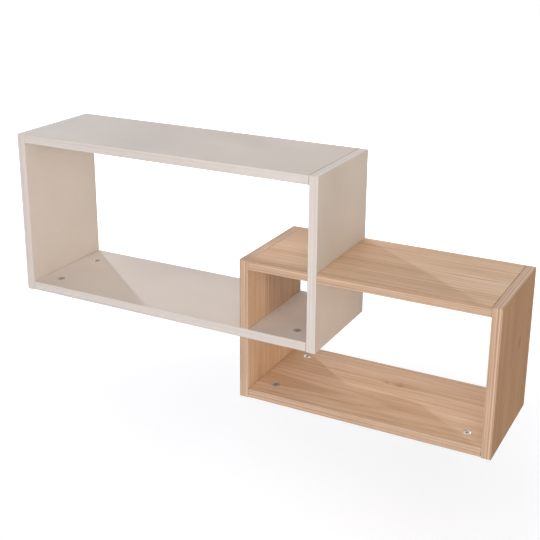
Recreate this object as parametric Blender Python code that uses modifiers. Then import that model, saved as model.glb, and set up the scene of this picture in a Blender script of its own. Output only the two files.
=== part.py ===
"""Wall shelf of two open box frames, cream and oak, that cross each other at two corners.

Every length is in metres. +X runs to the right, +Y towards the wall and +Z up. The origin lies
on the wall plane, at the middle of the shelf's whole width and half way through the thickness
of the cream frame's bottom board. Run it with: blender --background --python part.py
"""

import math

import bmesh
import bpy

# The two frames, by their outer sizes
BOARD = 0.016
DEPTH = 0.200
CREAM_WIDTH = 0.600
CREAM_HEIGHT = 0.300
OAK_WIDTH = 0.440
OAK_HEIGHT = 0.250
OVERLAP_WIDTH = 0.140  # how far the oak frame reaches into the cream one, sideways
OVERLAP_HEIGHT = 0.140  # and upwards
BOTTOM_REVEAL = 0.001  # how far the side boards end below the bottom boards
EDGE_CHAMFER = 0.0004

# Clearances shared by all pieces
PIECE_GAP = 0.0003
CUT_OVERRUN = 0.002

# Cam fittings, two at each corner joint
CAM_FROM_SIDE = 0.034
CAM_FRONT_INSET = 0.037
CREAM_CAM_BACK_INSET = 0.053
OAK_CAM_BACK_INSET = 0.037
CAM_BORE_RADIUS = 0.0075
CAM_FLOOR_DROP = 0.0047  # from the bolt's axis to the cam's closed end
CAM_FACE_DROP = 0.0002  # from the board's face to the cam's tool face
CAM_ECCENTRICITY = 0.0005
CAM_CROSS_LENGTH = 0.0086
CAM_CROSS_WIDTH = 0.0018
CAM_CROSS_DEPTH = 0.0028

# Bolts that the cams draw in
BOLT_HEAD_RADIUS = 0.0028
BOLT_HEAD_OFFSET = 0.0019  # from the cam's axis to the middle of the ball head
BOLT_NECK_RADIUS = 0.0016
BOLT_NECK_END = 0.0095  # from the cam's axis
BOLT_SHANK_RADIUS = 0.0035
BOLT_BORE_RADIUS = 0.0040
THREAD_RADIUS = 0.0022
THREAD_LENGTH = 0.0110
THREAD_CHAMFER = 0.0008

# Wood dowels, one at the middle of each corner joint
DOWEL_BORE_RADIUS = 0.0040
DOWEL_LENGTH = 0.030
DOWEL_IN_SIDE = 0.011
DOWEL_CHAMFER = 0.0010

# Keyhole hanger plates, let into the back edges of the side boards
HANGER_DROP = 0.020  # from a side board's top end to the plate
HANGER_WIDTH = 0.012
HANGER_HEIGHT = 0.048
HANGER_THICKNESS = 0.0020
HANGER_CORNER = 0.0050
KEYHOLE_RADIUS = 0.0045
KEYHOLE_SLOT_WIDTH = 0.0050
KEYHOLE_SLOT_CORNER = 0.0024
KEYHOLE_DROP = 0.0040  # from the plate's middle down to the round hole
KEYHOLE_RISE = 0.0100  # from the plate's middle up to the slot's end
WELL_WIDTH = 0.0102
WELL_DEPTH = 0.0100
WELL_CORNER = 0.0040
WELL_MARGIN = 0.0010

# Countersunk screws of the hanger plates
SCREW_SPACING = 0.036
SCREW_LENGTH = 0.014
SCREW_HEAD_RADIUS = 0.0027
SCREW_HEAD_DEPTH = 0.0014
SCREW_SHANK_RADIUS = 0.0013
SCREW_TIP_LENGTH = 0.0030
SCREW_CROSS_LENGTH = 0.0028
SCREW_CROSS_WIDTH = 0.0006
SCREW_CROSS_DEPTH = 0.0008

# Facets round each kind of circle
CAM_STEPS = 16
BORE_STEPS = 10
THREAD_STEPS = 8
CORNER_STEPS = 2
BALL_STEPS = 3

# How meshes are shaded, rounded and joined
SHARP_ANGLE = math.radians(35)
ROUND_SHARE = 0.5  # the bevel profile that gives an arc
MERGE_DISTANCE = 0.00001

CREAM_COLOUR = "CDC2B8"
OAK_COLOUR = "BC9470"
CAM_COLOUR = "B4B2AE"
BOLT_COLOUR = "A8A69F"
DOWEL_COLOUR = "D2AE7C"
HANGER_COLOUR = "B9BABC"
SCREW_COLOUR = "C4B37E"

WALL_Y = 0.0
FRONT_Y = -DEPTH
MIDDLE_Y = -DEPTH / 2
WHOLE_WIDTH = CREAM_WIDTH + OAK_WIDTH - OVERLAP_WIDTH
LAP_WIDTH = BOARD + 2 * PIECE_GAP
CAM_RADIUS = CAM_BORE_RADIUS - PIECE_GAP
CAM_TOP = BOARD / 2 - CAM_FACE_DROP  # above the bolt's axis
DOWEL_RADIUS = DOWEL_BORE_RADIUS - PIECE_GAP


class Frame:
    """One box frame: its outer faces, and the places of its boards and fittings."""

    def __init__(self, name, left, low, width, height, cam_back_inset, colour):
        self.name = name
        self.left = left
        self.right = left + width
        self.low = low
        self.high = low + height
        self.colour = colour
        self.levels = {
            "top": self.high - BOARD / 2,
            "bottom": self.low + BOTTOM_REVEAL + BOARD / 2,
        }
        self.cam_places = {
            "front": FRONT_Y + CAM_FRONT_INSET,
            "back": WALL_Y - cam_back_inset,
        }

    def side_middle(self, hand):
        """The x of the middle of a side board's thickness."""
        if hand == "left":
            return self.left + BOARD / 2
        return self.right - BOARD / 2

    def inner_face(self, hand):
        """The x of a side board's inner face, where the top and bottom boards butt on it."""
        return self.side_middle(hand) - outward(hand) * BOARD / 2


def outward(hand):
    """The way from the middle of a frame to one of its side boards, along X."""
    return {"left": -1, "right": 1}[hand]


def facing(level):
    """The way that the tool faces of a board's cams look, along Z."""
    return {"top": -1, "bottom": 1}[level]


def clear_scene():
    for obj in list(bpy.data.objects):
        bpy.data.objects.remove(obj, do_unlink=True)


def new_collection(name):
    collection = bpy.data.collections.new(name)
    bpy.context.scene.collection.children.link(collection)
    return collection


def linear(code):
    """Scene-linear red, green, blue and alpha of a colour written as six hex digits."""
    shares = [int(code[i : i + 2], 16) / 255 for i in (0, 2, 4)]
    return [s / 12.92 if s <= 0.04045 else ((s + 0.055) / 1.055) ** 2.4 for s in shares] + [1]


def new_material(name, colour, roughness, metallic):
    material = bpy.data.materials.new(name)
    material.use_nodes = True
    shader = material.node_tree.nodes["Principled BSDF"]
    shader.inputs["Base Color"].default_value = linear(colour)
    shader.inputs["Roughness"].default_value = roughness
    shader.inputs["Metallic"].default_value = metallic
    material.diffuse_color = linear(colour)
    return material


def add_piece(name, mesh, collection, material, place, turn=(0, 0, 0)):
    """A visible piece at its place, under the shelf's root."""
    piece = bpy.data.objects.new(name, mesh)
    piece.location = place
    piece.rotation_euler = turn
    piece.parent = bpy.data.objects["shelf_root"]
    if not mesh.materials:
        mesh.materials.append(material)
    collection.objects.link(piece)
    return piece


def add_cutter(name, mesh, place, turn=(0, 0, 0)):
    """A helper that only cuts: hidden in renders and drawn as wires."""
    cutter = bpy.data.objects.new(name, mesh)
    cutter.location = place
    cutter.rotation_euler = turn
    cutter.hide_render = True
    cutter.display_type = "WIRE"
    bpy.data.collections["shelf_cutters"].objects.link(cutter)
    return cutter


def cut(piece, cutter):
    modifier = piece.modifiers.new("cut_" + cutter.name, "BOOLEAN")
    modifier.operation = "DIFFERENCE"
    modifier.solver = "EXACT"
    modifier.object = cutter


def finished_mesh(piece):
    """The piece's mesh with its modifiers applied, so that copies can share it."""
    bpy.context.view_layer.update()
    graph = bpy.context.evaluated_depsgraph_get()
    mesh = bpy.data.meshes.new_from_object(piece.evaluated_get(graph))
    mesh.name = piece.name
    bpy.data.objects.remove(piece, do_unlink=True)
    mesh.shade_smooth()
    mesh.set_sharp_from_angle(angle=SHARP_ANGLE)
    return mesh


def box_mesh(name, size):
    mesh = bpy.data.meshes.new(name)
    work = bmesh.new()
    bmesh.ops.create_cube(work, size=1)
    bmesh.ops.scale(work, vec=size, verts=work.verts)
    work.to_mesh(mesh)
    work.free()
    return mesh


def slab_mesh(name, width, thickness, height, corner):
    """A plate in the XZ plane with rounded corners, its thickness along Y."""
    mesh = bpy.data.meshes.new(name)
    work = bmesh.new()
    bmesh.ops.create_cube(work, size=1)
    bmesh.ops.scale(work, vec=(width, thickness, height), verts=work.verts)
    edges = []
    for edge in work.edges:
        run = edge.verts[0].co - edge.verts[1].co
        if abs(run.y) > abs(run.x) + abs(run.z):
            edges.append(edge)
    bmesh.ops.bevel(
        work,
        geom=edges,
        offset=corner,
        offset_type="OFFSET",
        segments=CORNER_STEPS,
        profile=ROUND_SHARE,
        affect="EDGES",
    )
    work.to_mesh(mesh)
    work.free()
    return mesh


def cone_mesh(name, low_radius, high_radius, length, steps):
    """A closed cone or cylinder along Z, centred on the origin."""
    mesh = bpy.data.meshes.new(name)
    work = bmesh.new()
    bmesh.ops.create_cone(
        work,
        cap_ends=True,
        segments=steps,
        radius1=low_radius,
        radius2=high_radius,
        depth=length,
    )
    work.to_mesh(mesh)
    work.free()
    return mesh


def turned_mesh(name, profile, steps):
    """A turned solid: radius and height points from its top down to its bottom, spun about Z."""
    mesh = bpy.data.meshes.new(name)
    points = [(radius, 0, height) for radius, height in profile]
    mesh.from_pydata(points, [(i, i + 1) for i in range(len(points) - 1)], [])
    piece = bpy.data.objects.new(name, mesh)
    bpy.context.scene.collection.objects.link(piece)
    screw = piece.modifiers.new("turn", "SCREW")
    screw.steps = steps
    screw.render_steps = steps
    screw.use_merge_vertices = True
    screw.merge_threshold = MERGE_DISTANCE
    return finished_mesh(piece)


def drill(piece, name, mouth, into, radius, depth, steps=BORE_STEPS):
    """A round blind hole from its mouth, along the signed axis that into gives, such as -X."""
    sign = -1 if into[0] == "-" else 1
    axis = "XYZ".index(into[1])
    mesh = cone_mesh(name, radius, radius, depth + CUT_OVERRUN, steps)
    place = list(mouth)
    place[axis] += sign * (depth - CUT_OVERRUN) / 2
    turn = {0: (0, math.pi / 2, 0), 1: (math.pi / 2, 0, 0), 2: (0, 0, 0)}[axis]
    cut(piece, add_cutter(name, mesh, place, turn))


def cut_cross(piece, name, length, width, depth, top):
    """A cross recess for a screwdriver in the face at height top, square to Z."""
    for arm, size in {
        "long": (length, width, depth + CUT_OVERRUN),
        "wide": (width, length, depth + CUT_OVERRUN),
    }.items():
        mesh = box_mesh(name + "_" + arm, size)
        place = (0, 0, top - (depth - CUT_OVERRUN) / 2)
        cut(piece, add_cutter(name + "_" + arm, mesh, place))


def make_board(name, low, high, material, collection):
    """A board between two opposite corners, with its long edges eased."""
    size = [b - a for a, b in zip(low, high)]
    middle = [(a + b) / 2 for a, b in zip(low, high)]
    board = add_piece(name, box_mesh(name, size), collection, material, middle)
    ease = board.modifiers.new("eased_edges", "BEVEL")
    ease.width = EDGE_CHAMFER
    ease.segments = 1
    return board


def make_boards(frame, collection):
    """The four boards of a frame, by name, before any hole is cut."""
    name = frame.name + "_decor"
    material = new_material(name, frame.colour, roughness=0.45, metallic=0)
    boards = {}
    for hand in ("left", "right"):
        middle = frame.side_middle(hand)
        low = (middle - BOARD / 2, FRONT_Y, frame.low)
        high = (middle + BOARD / 2, WALL_Y, frame.high)
        boards[hand] = make_board(f"{frame.name}_{hand}_side", low, high, material, collection)
    for level, height in frame.levels.items():
        low = (frame.inner_face("left") + PIECE_GAP, FRONT_Y, height - BOARD / 2)
        high = (frame.inner_face("right") - PIECE_GAP, WALL_Y, height + BOARD / 2)
        boards[level] = make_board(f"{frame.name}_{level}_panel", low, high, material, collection)
    return boards


def cut_laps(cream, oak, cream_boards, oak_boards):
    """The halving joints: cream boards are slotted from the back, oak ones from the front."""
    back_slot = abs(WALL_Y - MIDDLE_Y) + PIECE_GAP / 2 + CUT_OVERRUN
    front_slot = abs(MIDDLE_Y - FRONT_Y) + PIECE_GAP / 2 + CUT_OVERRUN
    back_y = WALL_Y + CUT_OVERRUN - back_slot / 2
    front_y = FRONT_Y - CUT_OVERRUN + front_slot / 2
    through = BOARD + CUT_OVERRUN
    side_x = oak.side_middle("left")
    floor_z = cream.levels["bottom"]
    cross_x = cream.side_middle("right")
    shelf_z = oak.levels["top"]
    laps = (
        (cream_boards["bottom"], (LAP_WIDTH, back_slot, through), (side_x, back_y, floor_z)),
        (oak_boards["left"], (through, front_slot, LAP_WIDTH), (side_x, front_y, floor_z)),
        (cream_boards["right"], (through, back_slot, LAP_WIDTH), (cross_x, back_y, shelf_z)),
        (oak_boards["top"], (LAP_WIDTH, front_slot, through), (cross_x, front_y, shelf_z)),
    )
    for board, size, place in laps:
        name = board.name + "_lap"
        cut(board, add_cutter(name, box_mesh(name, size), place))


def cam_mesh():
    """A cam lock about Z with the bolt along +X: locked as it stands, released after half a turn.

    The bolt's neck runs in the slot on the -Y side, and its ball head in the hollow behind it.
    """
    cavity_half = BOLT_HEAD_RADIUS + PIECE_GAP
    cavity_radius = BOLT_HEAD_OFFSET + BOLT_HEAD_RADIUS + PIECE_GAP + CAM_ECCENTRICITY
    neck_half = BOLT_NECK_RADIUS + PIECE_GAP
    reach = CAM_RADIUS + CUT_OVERRUN
    height = CAM_TOP + CAM_FLOOR_DROP
    drum = cone_mesh("cam_drum", CAM_RADIUS, CAM_RADIUS, height, CAM_STEPS)
    for vertex in drum.vertices:
        vertex.co.z += (CAM_TOP - CAM_FLOOR_DROP) / 2
    cam = bpy.data.objects.new("cam", drum)
    bpy.context.scene.collection.objects.link(cam)

    hollow = cone_mesh("cam_hollow", cavity_radius, cavity_radius, 2 * cavity_half, CAM_STEPS)
    cut(cam, add_cutter("cam_hollow", hollow, (-CAM_ECCENTRICITY, 0, 0)))
    slot = box_mesh("cam_neck_slot", (2 * reach, reach + neck_half, 2 * neck_half))
    cut(cam, add_cutter("cam_neck_slot", slot, (0, (neck_half - reach) / 2, 0)))
    port = box_mesh("cam_entry_port", (reach, 2 * cavity_half, 2 * cavity_half))
    cut(cam, add_cutter("cam_entry_port", port, (-reach / 2, 0, 0)))

    cut_cross(cam, "cam_cross", CAM_CROSS_LENGTH, CAM_CROSS_WIDTH, CAM_CROSS_DEPTH, CAM_TOP)
    return finished_mesh(cam)


def bolt_mesh():
    """A cam bolt along Z, its thread at the top: the origin is where the cam's axis crosses it."""
    seat = CAM_FROM_SIDE
    end = seat + THREAD_LENGTH
    profile = [
        (0, end),
        (THREAD_RADIUS - THREAD_CHAMFER, end),
        (THREAD_RADIUS, end - THREAD_CHAMFER),
        (THREAD_RADIUS, seat - PIECE_GAP),
        (BOLT_SHANK_RADIUS, seat - PIECE_GAP),
        (BOLT_SHANK_RADIUS, BOLT_NECK_END),
        (BOLT_NECK_RADIUS, BOLT_NECK_END),
    ]
    first = math.asin(BOLT_NECK_RADIUS / BOLT_HEAD_RADIUS)
    for i in range(BALL_STEPS + 1):
        angle = first + (math.pi - first) * i / BALL_STEPS
        radius = BOLT_HEAD_RADIUS * math.sin(angle) if i < BALL_STEPS else 0
        profile.append((radius, BOLT_HEAD_OFFSET + BOLT_HEAD_RADIUS * math.cos(angle)))
    return turned_mesh("bolt", profile, THREAD_STEPS)


def dowel_mesh():
    half = DOWEL_LENGTH / 2
    profile = [
        (0, half),
        (DOWEL_RADIUS - DOWEL_CHAMFER, half),
        (DOWEL_RADIUS, half - DOWEL_CHAMFER),
        (DOWEL_RADIUS, DOWEL_CHAMFER - half),
        (DOWEL_RADIUS - DOWEL_CHAMFER, -half),
        (0, -half),
    ]
    return turned_mesh("dowel", profile, BORE_STEPS)


def make_fittings(frame, boards, meshes, materials, collection):
    """Cams, bolts and dowels of a frame's four corner joints, and the holes that they sit in."""
    cam_bore_depth = BOARD / 2 + CAM_FLOOR_DROP + PIECE_GAP
    bolt_bore_depth = CAM_FROM_SIDE - CAM_BORE_RADIUS / 2
    dowel_in_side = DOWEL_IN_SIDE + PIECE_GAP
    dowel_in_panel = DOWEL_LENGTH - DOWEL_IN_SIDE
    for level, height in frame.levels.items():
        for hand in ("left", "right"):
            way = outward(hand)
            out_axis = "-X" if way < 0 else "+X"
            in_axis = "+X" if way < 0 else "-X"
            panel, side = boards[level], boards[hand]
            face_x = frame.inner_face(hand)
            end_x = face_x - way * PIECE_GAP
            joint = f"{frame.name}_{level}_{hand}"
            lay = (0, way * math.pi / 2, 0)
            for place, y in frame.cam_places.items():
                cam_x = face_x - way * CAM_FROM_SIDE
                mouth = (cam_x, y, height + facing(level) * BOARD / 2)
                down = "-Z" if facing(level) > 0 else "+Z"
                name = f"{joint}_{place}"
                drill(panel, name + "_cam_bore", mouth, down, CAM_BORE_RADIUS, cam_bore_depth, CAM_STEPS)
                mouth = (end_x, y, height)
                drill(panel, name + "_bolt_bore", mouth, in_axis, BOLT_BORE_RADIUS, bolt_bore_depth)
                mouth = (face_x, y, height)
                thread_bore = THREAD_RADIUS + PIECE_GAP
                thread_depth = THREAD_LENGTH + PIECE_GAP
                drill(side, name + "_thread_bore", mouth, out_axis, thread_bore, thread_depth, THREAD_STEPS)
                turn = (0 if facing(level) > 0 else math.pi, 0, 0 if way > 0 else math.pi)
                at = (cam_x, y, height)
                add_piece(name + "_cam", meshes["cam"], collection, materials["cam"], at, turn)
                add_piece(name + "_bolt", meshes["bolt"], collection, materials["bolt"], at, lay)
            mouth = (end_x, MIDDLE_Y, height)
            drill(panel, joint + "_panel_bore", mouth, in_axis, DOWEL_BORE_RADIUS, dowel_in_panel)
            mouth = (face_x, MIDDLE_Y, height)
            drill(side, joint + "_side_bore", mouth, out_axis, DOWEL_BORE_RADIUS, dowel_in_side)
            at = (face_x + way * (DOWEL_IN_SIDE - DOWEL_LENGTH / 2), MIDDLE_Y, height)
            add_piece(joint + "_dowel", meshes["dowel"], collection, materials["dowel"], at, lay)


def hanger_mesh():
    """A keyhole plate whose outer face lies at y = 0, its middle at the origin."""
    size = (HANGER_WIDTH, HANGER_THICKNESS, HANGER_HEIGHT)
    mesh = slab_mesh("hanger", *size, HANGER_CORNER)
    for vertex in mesh.vertices:
        vertex.co.y -= HANGER_THICKNESS / 2
    plate = bpy.data.objects.new("hanger", mesh)
    bpy.context.scene.collection.objects.link(plate)
    drill(plate, "keyhole_round", (0, 0, -KEYHOLE_DROP), "-Y", KEYHOLE_RADIUS, 2 * HANGER_THICKNESS)
    rise = KEYHOLE_RISE + KEYHOLE_DROP
    through = HANGER_THICKNESS + 2 * CUT_OVERRUN
    slot = slab_mesh("keyhole_slot", KEYHOLE_SLOT_WIDTH, through, rise, KEYHOLE_SLOT_CORNER)
    slot_z = (KEYHOLE_RISE - KEYHOLE_DROP) / 2
    cut(plate, add_cutter("keyhole_slot", slot, (0, -HANGER_THICKNESS / 2, slot_z)))
    sink = SCREW_HEAD_DEPTH + PIECE_GAP + CUT_OVERRUN
    hole_radius = SCREW_SHANK_RADIUS + PIECE_GAP
    slope = (SCREW_HEAD_RADIUS - SCREW_SHANK_RADIUS) / SCREW_HEAD_DEPTH
    for end, z in screw_heights().items():
        drill(plate, f"screw_hole_{end}", (0, 0, z), "-Y", hole_radius, 2 * HANGER_THICKNESS)
        cone = cone_mesh("countersink", hole_radius, hole_radius + slope * sink, sink, BORE_STEPS)
        place = (0, CUT_OVERRUN - sink / 2, z)
        cut(plate, add_cutter(f"countersink_{end}", cone, place, (-math.pi / 2, 0, 0)))
    return finished_mesh(plate)


def screw_heights():
    """Heights of a hanger's two screws from the plate's middle."""
    return {"upper": SCREW_SPACING / 2, "lower": -SCREW_SPACING / 2}


def screw_mesh():
    """A countersunk screw along Z, the top of its head at z = 0."""
    profile = [
        (0, 0),
        (SCREW_HEAD_RADIUS, 0),
        (SCREW_SHANK_RADIUS, -SCREW_HEAD_DEPTH),
        (SCREW_SHANK_RADIUS, SCREW_TIP_LENGTH - SCREW_LENGTH),
        (0, -SCREW_LENGTH),
    ]
    screw = bpy.data.objects.new("screw", turned_mesh("screw_blank", profile, BORE_STEPS))
    bpy.context.scene.collection.objects.link(screw)
    cut_cross(screw, "screw_cross", SCREW_CROSS_LENGTH, SCREW_CROSS_WIDTH, SCREW_CROSS_DEPTH, 0)
    return finished_mesh(screw)


def make_hangers(frame, boards, meshes, materials, collection):
    """Keyhole plates near the tops of both side boards, with their pockets and screws."""
    pocket_depth = HANGER_THICKNESS + PIECE_GAP
    middle_z = frame.high - HANGER_DROP - HANGER_HEIGHT / 2
    well_height = KEYHOLE_RISE + KEYHOLE_DROP + KEYHOLE_RADIUS + 2 * WELL_MARGIN
    well_z = middle_z + KEYHOLE_RISE + WELL_MARGIN - well_height / 2
    for hand in ("left", "right"):
        board = boards[hand]
        x = frame.side_middle(hand)
        name = f"{frame.name}_{hand}_hanger"
        pocket = slab_mesh(
            name + "_pocket",
            HANGER_WIDTH + 2 * PIECE_GAP,
            pocket_depth + CUT_OVERRUN,
            HANGER_HEIGHT + 2 * PIECE_GAP,
            HANGER_CORNER + PIECE_GAP,
        )
        place = (x, WALL_Y + (CUT_OVERRUN - pocket_depth) / 2, middle_z)
        cut(board, add_cutter(name + "_pocket", pocket, place))
        well = slab_mesh(name + "_well", WELL_WIDTH, WELL_DEPTH + CUT_OVERRUN, well_height, WELL_CORNER)
        place = (x, WALL_Y + (CUT_OVERRUN - WELL_DEPTH) / 2, well_z)
        cut(board, add_cutter(name + "_well", well, place))
        add_piece(name, meshes["hanger"], collection, materials["hanger"], (x, WALL_Y, middle_z))
        for end, rise in screw_heights().items():
            head = (x, WALL_Y - PIECE_GAP, middle_z + rise)
            pilot = SCREW_SHANK_RADIUS + PIECE_GAP
            depth = SCREW_LENGTH + 2 * PIECE_GAP
            mouth = (x, WALL_Y, middle_z + rise)
            drill(board, f"{name}_{end}_pilot", mouth, "-Y", pilot, depth, THREAD_STEPS)
            turn = (-math.pi / 2, 0, 0)
            add_piece(f"{name}_{end}_screw", meshes["screw"], collection, materials["screw"], head, turn)


def main():
    clear_scene()
    shelf = new_collection("wall_shelf")
    new_collection("shelf_cutters")
    root = bpy.data.objects.new("shelf_root", None)
    shelf.objects.link(root)

    cream_left = -WHOLE_WIDTH / 2
    cream_low = -(BOTTOM_REVEAL + BOARD / 2)
    oak_left = cream_left + CREAM_WIDTH - OVERLAP_WIDTH
    oak_low = cream_low + OVERLAP_HEIGHT - OAK_HEIGHT
    cream = Frame(
        "cream", cream_left, cream_low, CREAM_WIDTH, CREAM_HEIGHT, CREAM_CAM_BACK_INSET, CREAM_COLOUR
    )
    oak = Frame("oak", oak_left, oak_low, OAK_WIDTH, OAK_HEIGHT, OAK_CAM_BACK_INSET, OAK_COLOUR)
    cream_boards = make_boards(cream, shelf)
    oak_boards = make_boards(oak, shelf)
    cut_laps(cream, oak, cream_boards, oak_boards)

    meshes = {
        "cam": cam_mesh(),
        "bolt": bolt_mesh(),
        "dowel": dowel_mesh(),
        "hanger": hanger_mesh(),
        "screw": screw_mesh(),
    }
    materials = {
        "cam": new_material("zinc_cam", CAM_COLOUR, roughness=0.35, metallic=1),
        "bolt": new_material("steel_bolt", BOLT_COLOUR, roughness=0.4, metallic=1),
        "dowel": new_material("beech_dowel", DOWEL_COLOUR, roughness=0.7, metallic=0),
        "hanger": new_material("zinc_hanger", HANGER_COLOUR, roughness=0.4, metallic=1),
        "screw": new_material("yellow_screw", SCREW_COLOUR, roughness=0.35, metallic=1),
    }
    for frame, boards in ((cream, cream_boards), (oak, oak_boards)):
        make_fittings(frame, boards, meshes, materials, shelf)
        make_hangers(frame, boards, meshes, materials, shelf)


main()
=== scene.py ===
"""Looks of a wall shelf of two open box frames, cream and oak, that cross each other.

Every length is in metres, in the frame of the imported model: +X runs to the right, +Y towards
the wall and +Z up, and the wall plane is y = 0.
"""

import math

import bmesh
import bpy
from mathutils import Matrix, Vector


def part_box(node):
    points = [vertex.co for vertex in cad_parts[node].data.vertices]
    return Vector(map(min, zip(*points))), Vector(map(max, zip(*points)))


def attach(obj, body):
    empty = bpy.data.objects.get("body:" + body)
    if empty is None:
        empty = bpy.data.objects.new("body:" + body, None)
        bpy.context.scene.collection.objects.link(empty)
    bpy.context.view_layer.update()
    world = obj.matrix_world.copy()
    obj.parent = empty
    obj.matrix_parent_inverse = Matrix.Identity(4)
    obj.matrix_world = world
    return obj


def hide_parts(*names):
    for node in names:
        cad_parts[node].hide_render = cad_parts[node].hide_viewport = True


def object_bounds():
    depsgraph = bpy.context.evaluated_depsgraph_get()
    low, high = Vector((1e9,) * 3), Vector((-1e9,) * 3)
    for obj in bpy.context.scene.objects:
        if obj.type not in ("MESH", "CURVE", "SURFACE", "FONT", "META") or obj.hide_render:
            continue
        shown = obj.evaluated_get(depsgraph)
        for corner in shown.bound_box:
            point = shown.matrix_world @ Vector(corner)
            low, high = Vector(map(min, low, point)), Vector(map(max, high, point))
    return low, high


# The camera
CAMERA_PLACE = (0.773, -1.545, 0.702)
CAMERA_TURN_DEGREES = (72.21, -0.32, 27.82)
CAMERA_LENS_MM = 66.6
CAMERA_SHIFT_SHARE = -0.10

# Light. Headings are degrees from +X seen from above, and heights degrees above the horizon
SHELF_MIDDLE = (0, -0.10, 0.08)
LAMPS = {
    "key": dict(
        heading=143, height=27, distance=10.0, size=0.25, watts=394, colour=(0.72, 0.84, 1.0)
    ),
    "front": dict(
        heading=-75, height=18, distance=3.0, size=2.0, watts=31, colour=(0.86, 0.92, 1.0)
    ),
    "front_high": dict(
        heading=-75, height=42, distance=3.0, size=2.4, watts=37, colour=(1.0, 0.97, 0.98)
    ),
    "low_right": dict(
        heading=-35, height=5, distance=8.0, size=2.6, watts=182, colour=(1.0, 0.88, 0.71)
    ),
    "left": dict(
        heading=175, height=10, distance=3.0, size=2.0, watts=14, colour=(1.0, 0.94, 0.86)
    ),
    "back": dict(
        heading=90, height=18, distance=3.2, size=4.0, watts=83, colour=(1.0, 0.93, 0.85)
    ),
}
AMBIENT_LEVEL = 0.15  # light from the horizon
AMBIENT_ABOVE = 0.05  # and from overhead
AMBIENT_COLOUR = (1.0, 0.98, 0.94)
WHITE = (1, 1, 1, 1)

# The floor, well below the shelf. Its glow makes it white away from the shelf
FLOOR_DROP = 0.40
FLOOR_HALF = 9.0
FLOOR_COLOUR = "E7E7E9"
FLOOR_GRIT_PER_METRE = 40
FLOOR_ROUGHNESS = (0.75, 0.85)
FLOOR_GLOW_REACH = (0.8, 3.0)
FLOOR_GLOW = (0.30, 0.88)

# Where most of the values of a noise lie. A pair of roughnesses belongs to its two ends
NOISE_RANGE = (0.3, 0.7)

# Boards
FOIL = 0.00045  # how deep the decor foil and edge bands are taken to go
SEAM_REACH = (0.0002, 0.0005)  # how far from an edge its glue line starts to fade, and ends
FACING_SHARE = 0.6  # how squarely a face looks along an axis to count as a front or an end
BOARD_SPECULAR = 0.15
BOARD_BUMP_STRENGTH = 0.5

# Oak print. A pair of scales is along and across the grain, in cells per metre
GRAIN_WANDER = 0.004  # how far the grain drifts sideways
DRIFT_SCALES = (2.6, 9.0)
RINGS_PER_METRE = 190
RING_WOBBLES_PER_METRE = 5.0
RING_WOBBLE_SLICE = 3.0  # a slice of the noise that no other pattern uses
FIBRE_SCALES = (9, 620)
BROAD_SCALES = (3.0, 26.0)
RING_WEIGHT = 0.26
FIBRE_WEIGHT = 0.48
BROAD_WEIGHT = 0.26
OAK_STOPS = ((0.36, "BF9977"), (0.50, "D3AF8F"), (0.64, "E2C5AA"))
OAK_ROUGHNESS = (0.66, 0.56)
OAK_BUMP = 0.00012

PORE_SCALES = (75, 2600)
PORE_RANGE = (0.62, 0.72)
PORE_SHARE = 0.55
PORE_RING_RANGE = (0.40, 0.62)
PORE_RING_SHARES = (1.0, 0.25)  # in dark rings, and in light ones
PORE_DEPTH_SHARE = 0.5
OAK_PORE = "8E6744"
OAK_SEAM_SHARE = 0.38

# Knots and the streak. Reaches are in radii of the knot, or half widths of the streak
OAK_KNOT = "84512F"
KNOT_SHARE = 0.60
KNOT_LENGTH_SHARE = 0.75  # the smaller this is, the longer the knots
KNOT_HEART_REACH = (0.1, 0.6)
KNOT_HEART_SHARES = (0.9, 0.1)
KNOT_RIM = 0.75
KNOT_RIM_REACH = 0.25
KNOT_BREAK_SCALES = (150.0, 150.0)
KNOT_BREAK_RANGE = (0.40, 0.60)
KNOT_BREAK_SHARES = (0.2, 1.0)
KNOT_FLOW = 0.85  # how far the grain gives way to a knot
KNOT_FLOW_REACH = 3.6
KNOT_FLOW_LENGTH_SHARE = 0.45
STREAK_SHARE = 0.6
STREAK_CORE_REACH = 0.3

# Oak edge bands
BAND_COARSE_SCALES = (1.6, 400.0)
BAND_FINE_SCALES = (12.0, 1500.0)
BAND_COARSE_WEIGHT = 0.65
BAND_FINE_WEIGHT = 0.35
OAK_BAND_STOPS = ((0.39, "B08D71"), (0.50, "C5A58C"), (0.61, "D7BBA2"))

# Growth rings: the heart line's place across, how deep it lies, and how it slants and wavers
FLAT_SAWN = {"across": -0.145, "depth": 0.060, "taper_share": 0.030, "wobble": 0.006}
LEFT_SIDE_SAWN = {"across": -0.31, "depth": 0.030, "taper_share": 0.03, "wobble": 0.006}
RIGHT_SIDE_SAWN = {"across": -0.34, "depth": 0.030, "taper_share": 0.03, "wobble": 0.006}
TOP_SAWN = {"across": -0.26, "depth": 0.035, "taper_share": 0.03, "wobble": 0.008}
# Painted shade: a share of red, green and blue that darkens the oak right side's faces, as if less
# light reaches them
OAK_RIGHT_PAINTED_SHADE = (0.60, 0.49, 0.35)

# Knots as (along, across, radius), and a dark streak on the top panel
BOTTOM_KNOTS = ((0.226, -0.067, 0.0042), (0.251, -0.066, 0.0072))
RIGHT_SIDE_KNOTS = ((0.028, -0.075, 0.0085),)
TOP_STREAK = {
    "start": 0.318,
    "end": 0.434,
    "start_across": -0.0980,
    "end_across": -0.0950,
    "half_width": 0.0012,
    "fade": 0.030,
}

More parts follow.
